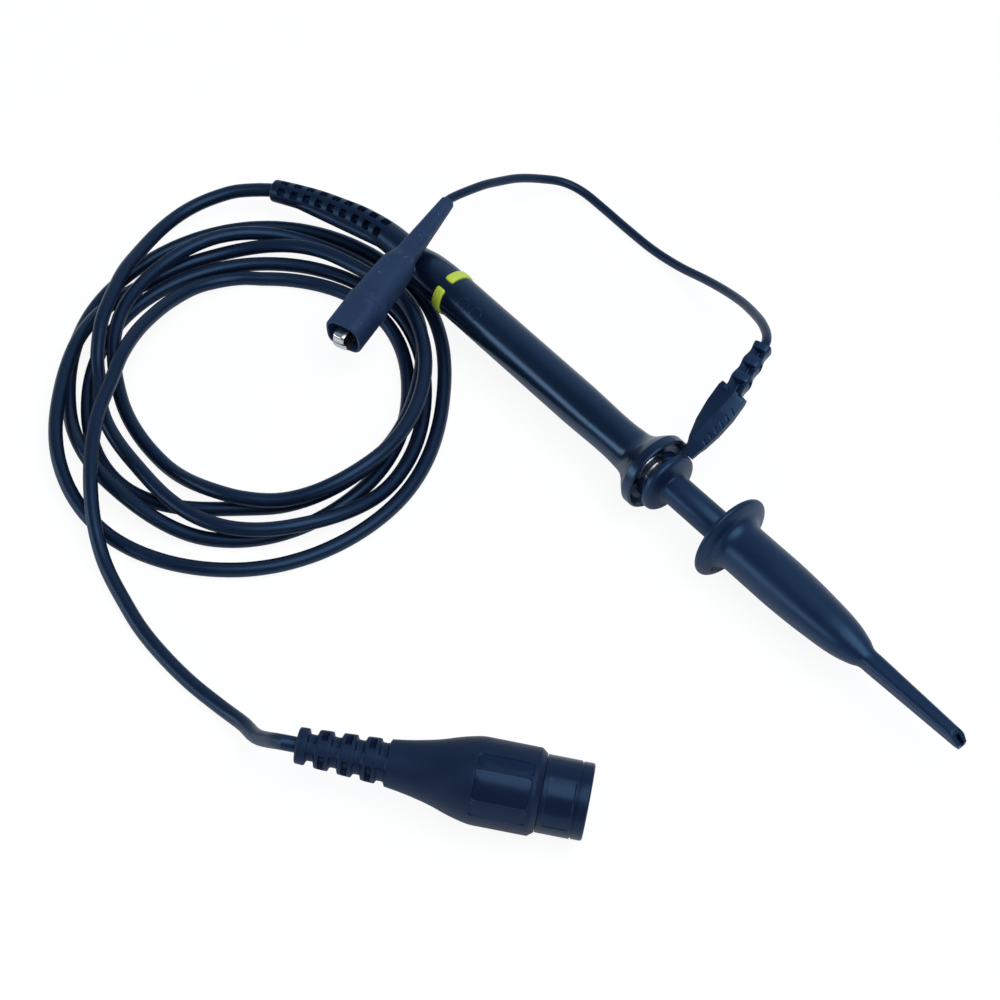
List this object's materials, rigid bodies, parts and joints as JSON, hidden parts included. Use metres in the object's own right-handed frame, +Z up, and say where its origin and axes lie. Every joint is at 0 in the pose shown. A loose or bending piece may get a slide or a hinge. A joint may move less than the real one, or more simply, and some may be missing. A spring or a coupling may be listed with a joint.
{
  "type": "oscilloscope probe",
  "caption": "Passive oscilloscope probe with a hook tip, finger guard, ground lead with crocodile clip, coiled cable and bayonet plug",
  "frame": {"origin": "middle of the probe without its cable, ground clip and plug, on the surface it lies on", "axes": "+X along the probe towards its hook, +Y to its left, +Z up"},
  "size_m": [0.2007, 0.1424, 0.0232],
  "materials": {
    "grip_plastic": "satin moulded plastic",
    "marker_plastic": "lime green moulded plastic",
    "boot_rubber": "soft moulded rubber",
    "hook_plastic": "satin moulded plastic",
    "barrel_metal": "nickel plated, turned",
    "insulator_plastic": "natural white",
    "contact_gold": "gold plated",
    "board": "glass-fibre board",
    "component": "lacquered",
    "ferrule_brass": "crimped",
    "spring_steel": "drawn wire",
    "jaw_steel": "plated sheet",
    "clip_rubber": "soft moulded",
    "cable_jacket": "smooth jacket",
    "plug_plastic": "fine matt moulded plastic",
    "plug_metal": "nickel plated",
    "gasket_rubber": "moulded ring"
  },
  "bodies": {
    "probe": {"handle_shell": "grip_plastic", "marker_ring": "marker_plastic", "cable_boot": "boot_rubber", "ground_barrel": "barrel_metal", "tip_insulator": "insulator_plastic", "probe_needle": "contact_gold", "circuit_board": "board", "tip_resistor": "component", "tip_capacitor": "component", "crimp_ferrule": "ferrule_brass", "ground_lead": "cable_jacket", "clip_boot": "clip_rubber", "clip_jaw_lower": "jaw_steel", "clip_pin": "spring_steel", "clip_spring": "spring_steel", "cable_lead_in": "cable_jacket", "cable_coil": "cable_jacket", "cable_tail": "cable_jacket", "plug_relief": "plug_plastic", "plug_housing": "plug_plastic", "plug_core": "plug_metal", "contact_sleeve": "plug_metal", "plug_insulator": "insulator_plastic", "centre_pin": "contact_gold", "nut_gasket": "gasket_rubber", "wave_washer": "spring_steel"},
    "hook_tip": {"hook_carrier": "hook_plastic", "contact_socket": "contact_gold", "hook_wire": "spring_steel", "return_spring": "spring_steel"},
    "hook_grip": {"hook_sleeve": "hook_plastic"},
    "ground_arm": {"ground_collar": "hook_plastic", "collar_contact": "spring_steel", "lead_relief": "hook_plastic"},
    "clip_jaw": {"clip_jaw_upper": "jaw_steel"},
    "plug_nut": {"bayonet_collar": "plug_plastic", "bayonet_nut": "plug_metal"}
  },
  "joints": [
    {"name": "hook_pull_off", "type": "slide", "parent": "probe", "child": "hook_tip", "axis": [1, 0, 0], "range_m": [0, 0.03]},
    {"name": "sleeve_retract", "type": "slide", "parent": "hook_tip", "child": "hook_grip", "axis": [-1, 0, 0], "range_m": [0, 0.011], "stiffness_N_per_m": 150, "springref_m": -0.006, "deforming": ["return_spring"]},
    {"name": "collar_turn", "type": "hinge", "parent": "probe", "child": "ground_arm", "pos_m": [0.01594, -0.00416, 0.0089], "axis": [1, 0, 0], "range_deg": [-20, 45], "deforming": ["ground_lead"]},
    {"name": "jaw_open", "type": "hinge", "parent": "probe", "child": "clip_jaw", "pos_m": [-0.05179, -0.02057, 0.01394], "axis": [-0.9449, -0.3272, 0], "range_deg": [0, 7], "stiffness_Nm_per_rad": 0.05, "springref_deg": -28.65, "deforming": ["clip_spring"]},
    {"name": "bayonet_turn", "type": "hinge", "parent": "probe", "child": "plug_nut", "pos_m": [0.05798, -0.06481, 0.00734], "axis": [0.7665, 0.6363, -0.087], "continuous": true}
  ]
}
